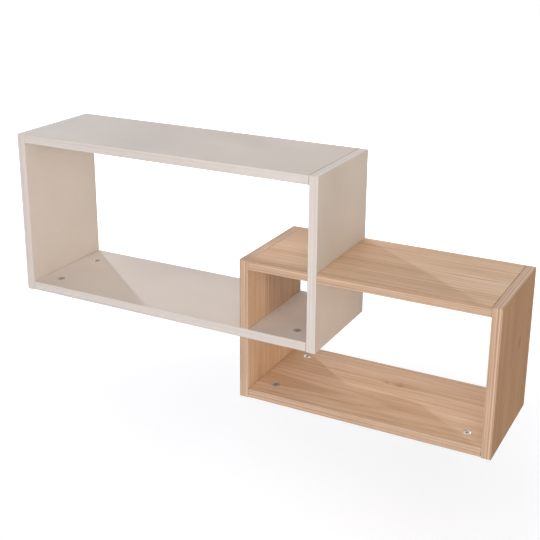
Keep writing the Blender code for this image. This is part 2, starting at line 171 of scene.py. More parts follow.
# Cream melamine
CREAM_CLOUDS_PER_METRE = (7, 9, 7)
CREAM_SPECKS_PER_METRE = 900
CREAM_PEARLS_PER_METRE = 1600
CREAM_SPECK_WEIGHT = 0.65
CREAM_CLOUD_WEIGHT = 0.35
CREAM_STOPS = ((0.36, "CEC3B8"), (0.50, "D3C8BE"), (0.64, "D8CDC3"))
CREAM_BAND_SCALES = (2.0, 420.0)
CREAM_BAND_STOPS = ((0.34, "D1C7BF"), (0.66, "DCD4CD"))
CREAM_ROUGHNESS = (0.64, 0.56)
CREAM_BUMP = 0.00010
CREAM_SEAM = "8E8276"
CREAM_SEAM_SHARE = 0.12

# Bare particle board
CHIPS_PER_METRE = 420.0
CORE_GRIT_PER_METRE = 1900
CHIP_WEIGHT = 0.6
CORE_GRIT_WEIGHT = 0.4
CORE_STOPS = ((0.15, "8C6B48"), (0.5, "B18F67"), (0.85, "CDB08A"))
CORE_ROUGHNESS = 0.9

# Plated metals
METALS = {
    "nickel_looks": dict(
        stops=((0.35, "8E8B85"), (0.65, "C8C5BE")), roughness=(0.38, 0.50), pits=2600, dent=0.00006
    ),
    "steel_looks": dict(
        stops=((0.35, "8E8D88"), (0.65, "B4B2AC")), roughness=(0.34, 0.46), pits=1800, dent=0.00005
    ),
    "zinc_plate_looks": dict(
        stops=((0.35, "85888B"), (0.65, "ABADB0")), roughness=(0.40, 0.54), pits=1500, dent=0.00005
    ),
    "yellow_zinc_looks": dict(
        stops=((0.35, "8F7F4C"), (0.65, "B8A873")), roughness=(0.34, 0.46), pits=1800, dent=0.00004
    ),
}
METAL_CLOUDS_PER_METRE = 260
METAL_SCRATCHES_PER_METRE = (900, 9000, 2500)
METAL_SCRATCH_RANGE = (0.60, 0.70)
METAL_SCRATCH_ROUGHNESS = 0.10
METAL_BUMP_STRENGTH = 0.6

# Raw beech, whose grain runs along a dowel's own Z
BEECH_FLECKS_PER_METRE = (2200, 2200, 180)
BEECH_BANDS_PER_METRE = (500, 500, 20)
BEECH_STOPS = ((0.35, "B8905E"), (0.65, "DDBD8F"))
BEECH_ROUGHNESS = (0.65, 0.80)
BEECH_BUMP = 0.00008
BEECH_BUMP_STRENGTH = 0.5

# Cam locks: the tool face is at z = 0 and the closed end below it
CAM_RADIUS = 0.0072
CAM_HEIGHT = 0.0125
CAM_AXIS_DROP = 0.0078  # from the tool face to the bolt's axis
CAM_EASE = 0.0004
CAM_RIM = 0.0014
CAM_LIP = CAM_EASE / 4
CAM_DISH_DEPTH = 0.0009
CAM_CROSS_LENGTH = 0.0086
CAM_CROSS_WIDTH = 0.0026
CAM_CROSS_DEPTH = 0.0036
CROSS_TAPER_SHARE = 0.62
CAM_SOCKET_RADIUS = 0.0024
CAM_ARROW_START = 0.0046
CAM_ARROW_LENGTH = 0.0011
CAM_ARROW_HALF_WIDTH = 0.0008
CAM_ARROW_RISE = 0.00035
CAM_HOLLOW_RADIUS = 0.0055
CAM_HOLLOW_SHIFT = 0.0005
CAM_HOLLOW_HALF = 0.0031
CAM_SLOT_HALF = 0.0019

# Keyhole hanger plates: the outer face is at z = 0 and the middle at the origin
PLATE_WIDTH = 0.012
PLATE_HEIGHT = 0.048
PLATE_THICKNESS = 0.0020
PLATE_CORNER = 0.0052
PLATE_EASE = 0.0003
KEYHOLE_RADIUS = 0.0045
KEYHOLE_DROP = 0.0040
SLOT_RADIUS = 0.0025
SLOT_RISE = 0.0075  # from the plate's middle to the centre of the slot's round end
NEARLY_ROUND = 0.999  # keeps a short straight stretch between two round corners

# Their screws: the top of the head is at z = 0
CLEARANCE = 0.0003
SCREW_SPACING = 0.036
SCREW_HEAD_RADIUS = 0.0027
SCREW_HEAD_DEPTH = 0.0014
SCREW_HEAD_EASE = CLEARANCE / 3
SCREW_SHANK_RADIUS = 0.0013
SCREW_CORE_SHARE = 0.75
SCREW_LENGTH = 0.014
SCREW_TIP = 0.0030
SCREW_PITCH = 0.0010
SCREW_CROSS_LENGTH = 0.0029
SCREW_CROSS_WIDTH = 0.0007
SCREW_CROSS_DEPTH = 0.0009

# Cam bolts, by heights from the cam's axis
BOLT_HEAD_RADIUS = 0.0028
BOLT_HEAD_OFFSET = 0.0019
BOLT_NECK_RADIUS = 0.0016
BOLT_NECK_END = 0.0095
BOLT_SHANK_RADIUS = 0.0035
BOLT_SHANK_END = 0.0337
BOLT_EASE = 0.0004
BOLT_END = 0.0450
BOLT_CORE_RADIUS = 0.0017
BOLT_THREAD_RADIUS = 0.0022
BOLT_PITCH = 0.0014

# Fluted dowels
DOWEL_RADIUS = 0.0037
DOWEL_FLUTE = 0.0003
DOWEL_FLUTES = 18
STEPS_PER_FLUTE = 4
DOWEL_CHAMFER = 0.0010
DOWEL_LENGTH = 0.030

# Meshes
FINE_STEPS = 48
ROUND_STEPS = 32
CORNER_STEPS = 8
SHARP_DEGREES = 32
CUT_OVERRUN = 0.002


def linear(code):
    """Scene-linear red, green, blue and alpha of a colour written as six hex digits."""
    shares = [int(code[i : i + 2], 16) / 255 for i in (0, 2, 4)]
    return [s / 12.92 if s <= 0.04045 else ((s + 0.055) / 1.055) ** 2.4 for s in shares] + [1]


class Nodes:
    """Short calls that add nodes to a tree and join them. A value is a number or a socket."""

    def __init__(self, tree):
        self.tree = tree

    def feed(self, socket, value):
        if isinstance(value, bpy.types.NodeSocket):
            self.tree.links.new(value, socket)
        else:
            socket.default_value = value

    def add(self, kind, inputs, **settings):
        node = self.tree.nodes.new(kind)
        for name, value in settings.items():
            setattr(node, name, value)
        for name, value in inputs.items():
            self.feed(node.inputs[name], value)
        return node

    def math(self, operation, first, second=0.0, third=0.0):
        inputs = {0: first, 1: second, 2: third}
        return self.add("ShaderNodeMath", inputs, operation=operation).outputs[0]

    def vector(self, operation, first, second=(0, 0, 0)):
        inputs = {0: first, 1: second}
        return self.add("ShaderNodeVectorMath", inputs, operation=operation).outputs[0]

    def split(self, vector):
        return self.add("ShaderNodeSeparateXYZ", {0: vector}).outputs[:3]

    def join(self, x, y, z=0.0):
        return self.add("ShaderNodeCombineXYZ", {0: x, 1: y, 2: z}).outputs[0]

    def scale(self, vector, factors):
        """The vector times one number, or times three numbers, one for each of its parts."""
        if not isinstance(factors, tuple):
            factors = (factors, factors, factors)
        return self.vector("MULTIPLY", vector, factors)

    def stretch(self, along, across, scales, seed):
        """A place in a pattern, from places along and across the grain."""
        scaled = [self.math("MULTIPLY", *pair) for pair in zip((along, across), scales)]
        return self.join(*scaled, seed)

    def weigh(self, *parts):
        """The sum of values times their weights, from (value, weight) pairs."""
        total = 0.0
        for value, weight in parts:
            total = self.math("MULTIPLY_ADD", value, weight, total)
        return total

    def length(self, first, second):
        """The length of the diagonal over two lengths at right angles."""
        squares = [self.math("POWER", side, 2.0) for side in (first, second)]
        return self.math("SQRT", self.math("ADD", *squares))

    def choose(self, share, first, second):
        """The first vector where share is 0 and the second where it is 1."""
        inputs = {0: share, 4: first, 5: second}  # 4 and 5 are the node's vector sockets
        return self.add("ShaderNodeMix", inputs, data_type="VECTOR").outputs[1]

    def blend(self, share, first, second, kind="MIX"):
        """The first colour where share is 0 and the second where it is 1."""
        inputs = {0: share, 6: first, 7: second}  # and 6 and 7 its colour sockets
        return self.add("ShaderNodeMix", inputs, data_type="RGBA", blend_type=kind).outputs[2]

    def noise(self, vector, detail=2.0, roughness=0.5):
        inputs = {"Vector": vector, "Scale": 1.0, "Detail": detail, "Roughness": roughness}
        return self.add("ShaderNodeTexNoise", inputs, normalize=True).outputs[0]

    def line_noise(self, place, detail=2.0, roughness=0.5):
        node = self.add("ShaderNodeTexNoise", {}, noise_dimensions="1D", normalize=True)
        inputs = {"W": place, "Scale": 1.0, "Detail": detail, "Roughness": roughness}
        for name, value in inputs.items():
            self.feed(node.inputs[name], value)
        return node.outputs[0]

    def fit(self, value, low, high, new_low=0.0, new_high=1.0):
        """The value with low to high stretched to new_low to new_high, and no further."""
        inputs = {0: value, 1: low, 2: high, 3: new_low, 4: new_high}
        return self.add("ShaderNodeMapRange", inputs, clamp=True).outputs[0]

    def ramp(self, value, stops):
        """A colour for each value, from (value, hex colour) stops."""
        node = self.add("ShaderNodeValToRGB", {0: value})
        points = node.color_ramp.elements
        while len(points) < len(stops):
            points.new(1)
        for point, (place, code) in zip(points, stops):
            point.position = place
            point.color = linear(code)
        return node.outputs[0]

    def bump(self, height, distance, strength):
        inputs = {"Height": height, "Distance": distance, "Strength": strength}
        return self.add("ShaderNodeBump", inputs).outputs[0]


def new_material(name):
    """A new material, its node calls and its Principled shader."""
    material = bpy.data.materials.new(name)
    material.use_nodes = True
    nodes = Nodes(material.node_tree)
    return material, nodes, material.node_tree.nodes["Principled BSDF"]


def object_place(nodes):
    return nodes.add("ShaderNodeTexCoord", {}).outputs["Object"]


def band_and_core(nodes, board, grain_axis):
    """What a board's material needs to know of a point.

    Gives its place, its places along and across the decor face, and along and across the edge
    band, the share that is band, the share that is bare particle board and how near an edge it is.
    """
    low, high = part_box(board)
    middle, half = (low + high) / 2, (high - low) / 2
    source = nodes.add("ShaderNodeTexCoord", {})
    place = source.outputs["Object"]
    x, y, z = nodes.split(place)
    normal = source.outputs["Normal"]
    facing = nodes.split(nodes.vector("ABSOLUTE", normal))
    off_middle = nodes.vector("ABSOLUTE", nodes.vector("SUBTRACT", place, middle))
    depths = list(nodes.split(nodes.vector("SUBTRACT", half, off_middle)))
    if grain_axis == "X":
        # The side boards cover the ends of this one, whose inner face shows no seam there
        inward_sign = 1.0 if "_bottom_" in board else -1.0
        inward = nodes.math("MULTIPLY", nodes.split(normal)[2], inward_sign)
        looks_in = nodes.math("GREATER_THAN", inward, FACING_SHARE)
        depths[0] = nodes.math("ADD", depths[0], looks_in)
    least = nodes.math("MINIMUM", nodes.math("MINIMUM", depths[0], depths[1]), depths[2])
    most = nodes.math("MAXIMUM", nodes.math("MAXIMUM", depths[0], depths[1]), depths[2])
    total = nodes.math("ADD", nodes.math("ADD", depths[0], depths[1]), depths[2])
    from_edge = nodes.math("SUBTRACT", nodes.math("SUBTRACT", total, least), most)
    seam = nodes.fit(from_edge, *SEAM_REACH, 1.0, 0.0)
    inside = nodes.math("GREATER_THAN", least, FOIL)
    looks_front = nodes.math("GREATER_THAN", facing[1], FACING_SHARE)
    if grain_axis == "X":
        raw_end = nodes.math("GREATER_THAN", facing[0], FACING_SHARE)
        core = nodes.math("MAXIMUM", inside, raw_end)
        return place, nodes.join(x, y), nodes.join(x, z), looks_front, core, seam
    looks_end = nodes.math("GREATER_THAN", facing[2], FACING_SHARE)
    band_place = nodes.choose(looks_end, nodes.join(z, x), nodes.join(y, x))
    band = nodes.math("MAXIMUM", looks_front, looks_end)
    return place, nodes.join(z, y), band_place, band, inside, seam


def core_colour(nodes, place):
    """Bare particle board: pressed chips of unlike tone."""
    inputs = {"Vector": place, "Scale": CHIPS_PER_METRE}
    chips = nodes.add("ShaderNodeTexVoronoi", inputs).outputs["Color"]
    grit = nodes.noise(nodes.scale(place, CORE_GRIT_PER_METRE), detail=3.0, roughness=0.7)
    tone = nodes.weigh((nodes.split(chips)[0], CHIP_WEIGHT), (grit, CORE_GRIT_WEIGHT))
    return nodes.ramp(tone, CORE_STOPS)


def from_knot(nodes, along, across, knot, length_share):
    """How far a point is from a knot's heart, and how far across the grain."""
    knot_along, knot_across, _ = knot
    off_along = nodes.math("SUBTRACT", along, knot_along)
    off_along = nodes.math("MULTIPLY", off_along, length_share)
    off_across = nodes.math("SUBTRACT", across, knot_across)
    return nodes.length(off_along, off_across), off_across


def knot_share(nodes, along, across, knot):
    """How dark a small knot makes a point. It has a dark heart and a broken dark rim."""
    span, _ = from_knot(nodes, along, across, knot, KNOT_LENGTH_SHARE)
    radius = knot[2]
    heart_low, heart_high = (radius * reach for reach in KNOT_HEART_REACH)
    heart = nodes.fit(span, heart_low, heart_high, *KNOT_HEART_SHARES)
    off_rim = nodes.math("ABSOLUTE", nodes.math("SUBTRACT", span, radius * KNOT_RIM))
    rim = nodes.fit(off_rim, 0.0, radius * KNOT_RIM_REACH, 1.0, 0.0)
    breaks = nodes.noise(nodes.stretch(along, across, KNOT_BREAK_SCALES, 0.0), detail=1.0)
    breaks = nodes.fit(breaks, *KNOT_BREAK_RANGE, *KNOT_BREAK_SHARES)
    rim = nodes.math("MULTIPLY", rim, breaks)
    inside = nodes.math("LESS_THAN", span, radius)
    return nodes.math("MULTIPLY", nodes.math("MAXIMUM", heart, rim), inside)


def round_knot(nodes, along, across, knot):
    """The place across the grain, moved so that the grain flows round a knot."""
    span, off_across = from_knot(nodes, along, across, knot, KNOT_FLOW_LENGTH_SHARE)
    near = nodes.fit(span, 0.0, knot[2] * KNOT_FLOW_REACH, 1.0, 0.0)
    near = nodes.math("MULTIPLY", nodes.math("POWER", near, 2.0), KNOT_FLOW)
    return nodes.math("SUBTRACT", across, nodes.math("MULTIPLY", off_across, near))


def streak_share(nodes, along, across, streak):
    """How dark a streak makes a point. It fades out towards both ends."""
    start, end, fade = streak["start"], streak["end"], streak["fade"]
    slope = (streak["end_across"] - streak["start_across"]) / (end - start)
    from_start = nodes.math("SUBTRACT", along, start)
    line = nodes.math("MULTIPLY_ADD", from_start, slope, streak["start_across"])
    off_line = nodes.math("ABSOLUTE", nodes.math("SUBTRACT", across, line))
    half_width = streak["half_width"]
    thin = nodes.fit(off_line, half_width * STREAK_CORE_REACH, half_width, 1.0, 0.0)
    rises = nodes.fit(along, start, start + fade)
    falls = nodes.fit(along, end - fade, end, 1.0, 0.0)
    return nodes.math("MULTIPLY", nodes.math("MULTIPLY", rises, falls), thin)


def growth_rings(nodes, along, grain, seed, heart):
    """Rings of a sawn board, by the distance from a slanting heart line."""
    off_heart = nodes.math("SUBTRACT", grain, heart["across"])
    wobble_along = nodes.math("MULTIPLY", along, RING_WOBBLES_PER_METRE)
    wobble = nodes.noise(nodes.join(wobble_along, seed, RING_WOBBLE_SLICE), detail=1.0)
    deep = nodes.math("MULTIPLY_ADD", along, heart["taper_share"], heart["depth"])
    deep = nodes.math("MULTIPLY_ADD", wobble, heart["wobble"], deep)
    reach = nodes.length(off_heart, deep)
    ring_place = nodes.math("MULTIPLY_ADD", reach, RINGS_PER_METRE, seed)
    return nodes.line_noise(ring_place, detail=2.5, roughness=0.6)


def oak_face(nodes, face_place, seed, heart, knots, streak):
    """The oak print's colour and the tone that its bump and gloss follow."""
    along, across, _ = nodes.split(face_place)
    drift = nodes.noise(nodes.stretch(along, across, DRIFT_SCALES, seed), detail=1.5)
    drift = nodes.math("SUBTRACT", drift, 0.5)
    drifted = nodes.math("MULTIPLY_ADD", drift, 2 * GRAIN_WANDER, across)
    grain = drifted
    for knot in knots:
        grain = round_knot(nodes, along, grain, knot)
    rings = growth_rings(nodes, along, grain, seed, heart)
    fibre_place = nodes.stretch(along, grain, FIBRE_SCALES, seed)
    fibres = nodes.noise(fibre_place, detail=3.0, roughness=0.6)
    broad = nodes.noise(nodes.stretch(along, grain, BROAD_SCALES, seed), detail=1.0)
    tone = nodes.weigh((rings, RING_WEIGHT), (fibres, FIBRE_WEIGHT), (broad, BROAD_WEIGHT))
    colour = nodes.ramp(tone, OAK_STOPS)

    pores = nodes.noise(nodes.stretch(along, grain, PORE_SCALES, seed), detail=1.0)
    pores = nodes.fit(pores, *PORE_RANGE, 0.0, PORE_SHARE)
    pores_by_ring = nodes.fit(rings, *PORE_RING_RANGE, *PORE_RING_SHARES)
    pores = nodes.math("MULTIPLY", pores, pores_by_ring)
    colour = nodes.blend(pores, colour, linear(OAK_PORE))
    for knot in knots:
        dark = nodes.math("MULTIPLY", knot_share(nodes, along, drifted, knot), KNOT_SHARE)
        colour = nodes.blend(dark, colour, linear(OAK_KNOT))
    if streak:
        dark = nodes.math("MULTIPLY", streak_share(nodes, along, across, streak), STREAK_SHARE)
        colour = nodes.blend(dark, colour, linear(OAK_KNOT))
    pore_depth = nodes.math("MULTIPLY", pores, PORE_DEPTH_SHARE)
    return colour, nodes.math("SUBTRACT", tone, pore_depth)


def oak_band(nodes, band_place, seed):
    """Oak edge band: straight lines along the edge."""
    along, across, _ = nodes.split(band_place)
    coarse_place = nodes.stretch(along, across, BAND_COARSE_SCALES, seed)
    fine_place = nodes.stretch(along, across, BAND_FINE_SCALES, seed)
    coarse = nodes.noise(coarse_place, detail=1.5, roughness=0.6)
    fine = nodes.noise(fine_place, detail=2.0, roughness=0.6)
    tone = nodes.weigh((coarse, BAND_COARSE_WEIGHT), (fine, BAND_FINE_WEIGHT))
    return nodes.ramp(tone, OAK_BAND_STOPS), tone


def finish_board(nodes, shader, colour, gloss, core, relief, depth):
    """Feeds a board's shader. Bare particle board is rough."""
    core_roughness = nodes.math("MULTIPLY", core, CORE_ROUGHNESS)
    nodes.feed(shader.inputs["Base Color"], colour)
    nodes.feed(shader.inputs["Roughness"], nodes.math("MAXIMUM", gloss, core_roughness))
    nodes.feed(shader.inputs["Normal"], nodes.bump(relief, depth, BOARD_BUMP_STRENGTH))
    shader.inputs["Specular IOR Level"].default_value = BOARD_SPECULAR


def oak_material(board, grain_axis, seed, heart, knots=(), streak=None, painted_shade=(1, 1, 1)):
    """Oak decor with its edge bands. The faces' colour can be multiplied by a share of red, green
    and blue: painted shade for a board that gets less light.
    """
    material, nodes, shader = new_material(board + "_looks")
    place, face_place, band_place, band, core, seam = band_and_core(nodes, board, grain_axis)
    face, face_tone = oak_face(nodes, face_place, seed, heart, knots, streak)
    # Painted shade: the faces darkened by a share of red, green and blue
    face = nodes.blend(1.0, face, (*painted_shade, 1), "MULTIPLY")
    edge, edge_tone = oak_band(nodes, band_place, seed)
    seam = nodes.math("MULTIPLY", seam, OAK_SEAM_SHARE)
    colour = nodes.blend(band, face, edge)
    colour = nodes.blend(seam, colour, linear(OAK_PORE))
    colour = nodes.blend(core, colour, core_colour(nodes, place))
    face_share = nodes.math("SUBTRACT", 1.0, band)
    tone = nodes.weigh((face_tone, face_share), (edge_tone, band))
    gloss = nodes.fit(tone, *NOISE_RANGE, *OAK_ROUGHNESS)
    finish_board(nodes, shader, colour, gloss, core, tone, OAK_BUMP)
    return material


def cream_material(board, grain_axis, seed):
    """Cream melamine: a fine pearl texture, and a slightly lighter edge band with faint lines."""
    material, nodes, shader = new_material(board + "_looks")
    place, _, band_place, band, core, seam = band_and_core(nodes, board, grain_axis)
    shifted = nodes.vector("ADD", place, (seed, 0, 0))
    clouds = nodes.noise(nodes.scale(shifted, CREAM_CLOUDS_PER_METRE))
    specks = nodes.noise(nodes.scale(shifted, CREAM_SPECKS_PER_METRE), roughness=0.6)
    tone = nodes.weigh((clouds, CREAM_CLOUD_WEIGHT), (specks, CREAM_SPECK_WEIGHT))
    face = nodes.ramp(tone, CREAM_STOPS)
    along, across, _ = nodes.split(band_place)
    lines = nodes.noise(nodes.stretch(along, across, CREAM_BAND_SCALES, seed), roughness=0.6)
    seam = nodes.math("MULTIPLY", seam, CREAM_SEAM_SHARE)
    colour = nodes.blend(band, face, nodes.ramp(lines, CREAM_BAND_STOPS))
    colour = nodes.blend(seam, colour, linear(CREAM_SEAM))
    colour = nodes.blend(core, colour, core_colour(nodes, place))
    pearl = nodes.noise(nodes.scale(shifted, CREAM_PEARLS_PER_METRE), roughness=0.55)
    gloss = nodes.fit(clouds, *NOISE_RANGE, *CREAM_ROUGHNESS)
    finish_board(nodes, shader, colour, gloss, core, pearl, CREAM_BUMP)
    return material


def metal_material(name):
    """Plated metal with cloudy tone, fine pits and small scratches."""
    material, nodes, shader = new_material(name)
    facts = METALS[name]
    place = object_place(nodes)
    clouds = nodes.noise(nodes.scale(place, METAL_CLOUDS_PER_METRE), detail=3.0, roughness=0.6)
    pits = nodes.noise(nodes.scale(place, facts["pits"]), detail=3.0, roughness=0.65)
    scratches = nodes.noise(nodes.scale(place, METAL_SCRATCHES_PER_METRE), detail=1.0)
    scratches = nodes.fit(scratches, *METAL_SCRATCH_RANGE)
    rough = nodes.fit(pits, *NOISE_RANGE, *facts["roughness"])
    rough = nodes.math("MULTIPLY_ADD", scratches, METAL_SCRATCH_ROUGHNESS, rough)
    nodes.feed(shader.inputs["Base Color"], nodes.ramp(clouds, facts["stops"]))
    nodes.feed(shader.inputs["Roughness"], rough)
    nodes.feed(shader.inputs["Normal"], nodes.bump(pits, facts["dent"], METAL_BUMP_STRENGTH))
    shader.inputs["Metallic"].default_value = 1.0
    return material


def beech_material():
    """Raw beech with fine flecks."""
    material, nodes, shader = new_material("beech_looks")
    place = object_place(nodes)
    flecks = nodes.noise(nodes.scale(place, BEECH_FLECKS_PER_METRE), roughness=0.6)
    bands = nodes.noise(nodes.scale(place, BEECH_BANDS_PER_METRE))
    tone = nodes.weigh((flecks, 0.5), (bands, 0.5))
    nodes.feed(shader.inputs["Base Color"], nodes.ramp(tone, BEECH_STOPS))
    nodes.feed(shader.inputs["Roughness"], nodes.fit(tone, *NOISE_RANGE, *BEECH_ROUGHNESS))
    nodes.feed(shader.inputs["Normal"], nodes.bump(tone, BEECH_BUMP, BEECH_BUMP_STRENGTH))
    return material


def mesh_object(name, mesh):
    piece = bpy.data.objects.new(name, mesh)
    bpy.context.scene.collection.objects.link(piece)
    return piece


def mesh_from(work):
    """A new mesh from a bmesh, which is freed."""
    mesh = bpy.data.meshes.new("shape")
    work.to_mesh(mesh)
    work.free()
    return mesh


def join_rings(work, upper, lower):
    """Faces between two rings of as many vertices, both anticlockwise seen from above."""
    for i in range(len(upper)):
        after = (i + 1) % len(upper)
        work.faces.new((lower[i], lower[after], upper[after], upper[i]))


def turned_mesh(profile, steps, radius_at=None):
    """A closed turned solid about Z from (radius, height) points, given from its top down.

    The first and last points lie on the axis. radius_at can change a radius with the step.
    """
    work = bmesh.new()
    top = work.verts.new((0, 0, profile[0][1]))
    bottom = work.verts.new((0, 0, profile[-1][1]))
    rings = []
    for radius, height in profile[1:-1]:
        ring = []
        for i in range(steps):
            angle = 2 * math.pi * i / steps
            r = radius_at(radius, i) if radius_at else radius
            ring.append(work.verts.new((r * math.cos(angle), r * math.sin(angle), height)))
        rings.append(ring)
    for i in range(steps):
        after = (i + 1) % steps
        work.faces.new((top, rings[0][i], rings[0][after]))
        work.faces.new((bottom, rings[-1][after], rings[-1][i]))
        for upper, lower in zip(rings, rings[1:]):
            work.faces.new((upper[i], lower[i], lower[after], upper[after]))
    return mesh_from(work)


def prism_mesh(outline, low, high, taper_share=1.0):
    """An upright prism over an outline of (x, y) points, its low end scaled by taper_share."""
    work = bmesh.new()
    floor = [work.verts.new((x * taper_share, y * taper_share, low)) for x, y in outline]
    roof = [work.verts.new((x, y, high)) for x, y in outline]
    work.faces.new(list(reversed(floor)))
    work.faces.new(roof)
    join_rings(work, roof, floor)
    return mesh_from(work)


def rectangle(length, width):
    x, y = length / 2, width / 2
    return [(-x, -y), (x, -y), (x, y), (-x, y)]


def circle(radius, steps):
    angles = [2 * math.pi * i / steps for i in range(steps)]
    return [(radius * math.cos(a), radius * math.sin(a)) for a in angles]


def rounded_rectangle(width, height, corner):
    """Points round a rectangle with round corners, anticlockwise."""
    points = []
    for side_x, side_y, first in ((1, -1, -90), (1, 1, 0), (-1, 1, 90), (-1, -1, 180)):
        middle_x = side_x * (width / 2 - corner)
        middle_y = side_y * (height / 2 - corner)
        for i in range(CORNER_STEPS + 1):
            angle = math.radians(first + 90 * i / CORNER_STEPS)
            x = middle_x + corner * math.cos(angle)
            y = middle_y + corner * math.sin(angle)
            points.append((x, y))
    return points


def boolean(piece, mesh, operation="DIFFERENCE", place=(0, 0, 0)):
    """Cuts the mesh out of the piece, or joins it on, at once."""
    tool = mesh_object("tool", mesh)
    tool.location = place
    modifier = piece.modifiers.new("tool", "BOOLEAN")
    modifier.operation = operation
    modifier.solver = "EXACT"
    modifier.object = tool
    bpy.context.view_layer.update()
    graph = bpy.context.evaluated_depsgraph_get()
    made = bpy.data.meshes.new_from_object(piece.evaluated_get(graph))
    piece.modifiers.clear()
    piece.data = made
    bpy.data.objects.remove(tool, do_unlink=True)


def cut_cross(piece, length, width, depth):
    """Cuts a tapered cross recess into the top of a piece."""
    arm = rectangle(length, width)
    for outline in (arm, [(-y, x) for x, y in arm]):
        boolean(piece, prism_mesh(outline, -depth, CUT_OVERRUN, CROSS_TAPER_SHARE))


def finished(piece, material):
    """The piece's mesh, shaded smooth up to its sharp edges, with the piece itself removed."""
    mesh = piece.data
    mesh.name = piece.name
    mesh.materials.clear()
    mesh.materials.append(material)
    bpy.data.objects.remove(piece, do_unlink=True)
    mesh.shade_smooth()
    mesh.set_sharp_from_angle(angle=math.radians(SHARP_DEGREES))
    return mesh


def cam_mesh(material):
    """A cam lock: a dished face with a rim, a cross recess and an arrow over the port.

    The bolt's head comes in through the port, which faces away from the bolt when locked.
    """
    dish_edge = CAM_RADIUS - CAM_RIM
    profile = [
        (0, -CAM_DISH_DEPTH),
        (dish_edge - CAM_DISH_DEPTH, -CAM_DISH_DEPTH),
        (dish_edge, -CAM_LIP),
        (dish_edge + 2 * CAM_LIP, 0),
        (CAM_RADIUS - CAM_EASE, 0),
        (CAM_RADIUS - CAM_EASE / 3, -CAM_EASE / 3),
        (CAM_RADIUS, -CAM_EASE),
        (CAM_RADIUS, CAM_EASE - CAM_HEIGHT),
        (CAM_RADIUS - CAM_EASE, -CAM_HEIGHT),
        (0, -CAM_HEIGHT),
    ]
    cam = mesh_object("cam_lock", turned_mesh(profile, FINE_STEPS))
    cut_cross(cam, CAM_CROSS_LENGTH, CAM_CROSS_WIDTH, CAM_CROSS_DEPTH)
    socket = circle(CAM_SOCKET_RADIUS, ROUND_STEPS)
    boolean(cam, prism_mesh(socket, -CAM_CROSS_DEPTH, CUT_OVERRUN, CROSS_TAPER_SHARE))
    arrow = [
        (-CAM_ARROW_START, CAM_ARROW_HALF_WIDTH),
        (-CAM_ARROW_START - CAM_ARROW_LENGTH, 0),
        (-CAM_ARROW_START, -CAM_ARROW_HALF_WIDTH),
    ]
    arrow_low = -CAM_DISH_DEPTH - CAM_ARROW_RISE
    arrow_high = CAM_ARROW_RISE - CAM_DISH_DEPTH
    boolean(cam, prism_mesh(arrow, arrow_low, arrow_high), "UNION")

    axis = -CAM_AXIS_DROP
    reach = CAM_RADIUS + CUT_OVERRUN
    low, high = axis - CAM_HOLLOW_HALF, axis + CAM_HOLLOW_HALF
    hollow = prism_mesh(circle(CAM_HOLLOW_RADIUS, FINE_STEPS), low, high)
    boolean(cam, hollow, place=(-CAM_HOLLOW_SHIFT, 0, 0))
    slot = rectangle(2 * reach, reach + CAM_SLOT_HALF)
    slot = prism_mesh(slot, axis - CAM_SLOT_HALF, axis + CAM_SLOT_HALF)
    boolean(cam, slot, place=(0, (CAM_SLOT_HALF - reach) / 2, 0))
    port = prism_mesh(rectangle(reach, 2 * CAM_HOLLOW_HALF), low, high)
    boolean(cam, port, place=(-reach / 2, 0, 0))
    return finished(cam, material)


def thread_profile(core, crest, top, bottom, pitch):
    """Points down a ridged stretch, from top to bottom."""
    points = []
    for i in range(int((top - bottom) / pitch)):
        points.append((core, top - i * pitch))
        points.append((crest, top - (i + 0.5) * pitch))
    points.append((core, bottom))
    return points


def bolt_mesh(material):
    """A cam bolt along Z: a ball head at the cam, a neck, a shank and a threaded end."""
    profile = [(0, BOLT_END)]
    profile += thread_profile(
        BOLT_CORE_RADIUS, BOLT_THREAD_RADIUS, BOLT_END, BOLT_SHANK_END, BOLT_PITCH
    )
    profile += [
        (BOLT_SHANK_RADIUS - BOLT_EASE, BOLT_SHANK_END),
        (BOLT_SHANK_RADIUS, BOLT_SHANK_END - BOLT_EASE),
        (BOLT_SHANK_RADIUS, BOLT_NECK_END + BOLT_EASE),
        (BOLT_SHANK_RADIUS - BOLT_EASE, BOLT_NECK_END),
        (BOLT_NECK_RADIUS, BOLT_NECK_END),
    ]
    first = math.asin(BOLT_NECK_RADIUS / BOLT_HEAD_RADIUS)
    for i in range(CORNER_STEPS):
        angle = first + (math.pi - first) * i / CORNER_STEPS
        height = BOLT_HEAD_OFFSET + BOLT_HEAD_RADIUS * math.cos(angle)
        profile.append((BOLT_HEAD_RADIUS * math.sin(angle), height))
    profile.append((0, BOLT_HEAD_OFFSET - BOLT_HEAD_RADIUS))
    return finished(mesh_object("cam_bolt", turned_mesh(profile, ROUND_STEPS)), material)


def dowel_mesh(material):
    """A fluted dowel along Z, its ends chamfered."""
    half = DOWEL_LENGTH / 2
    profile = [
        (0, half),
        (DOWEL_RADIUS - DOWEL_CHAMFER, half),
        (DOWEL_RADIUS, half - DOWEL_CHAMFER),
        (DOWEL_RADIUS, DOWEL_CHAMFER - half),
        (DOWEL_RADIUS - DOWEL_CHAMFER, -half),
        (0, -half),
    ]

    def fluted(radius, step):
        return radius - DOWEL_FLUTE if step % STEPS_PER_FLUTE == 0 else radius

    mesh = turned_mesh(profile, STEPS_PER_FLUTE * DOWEL_FLUTES, fluted)
    return finished(mesh_object("fluted_dowel", mesh), material)


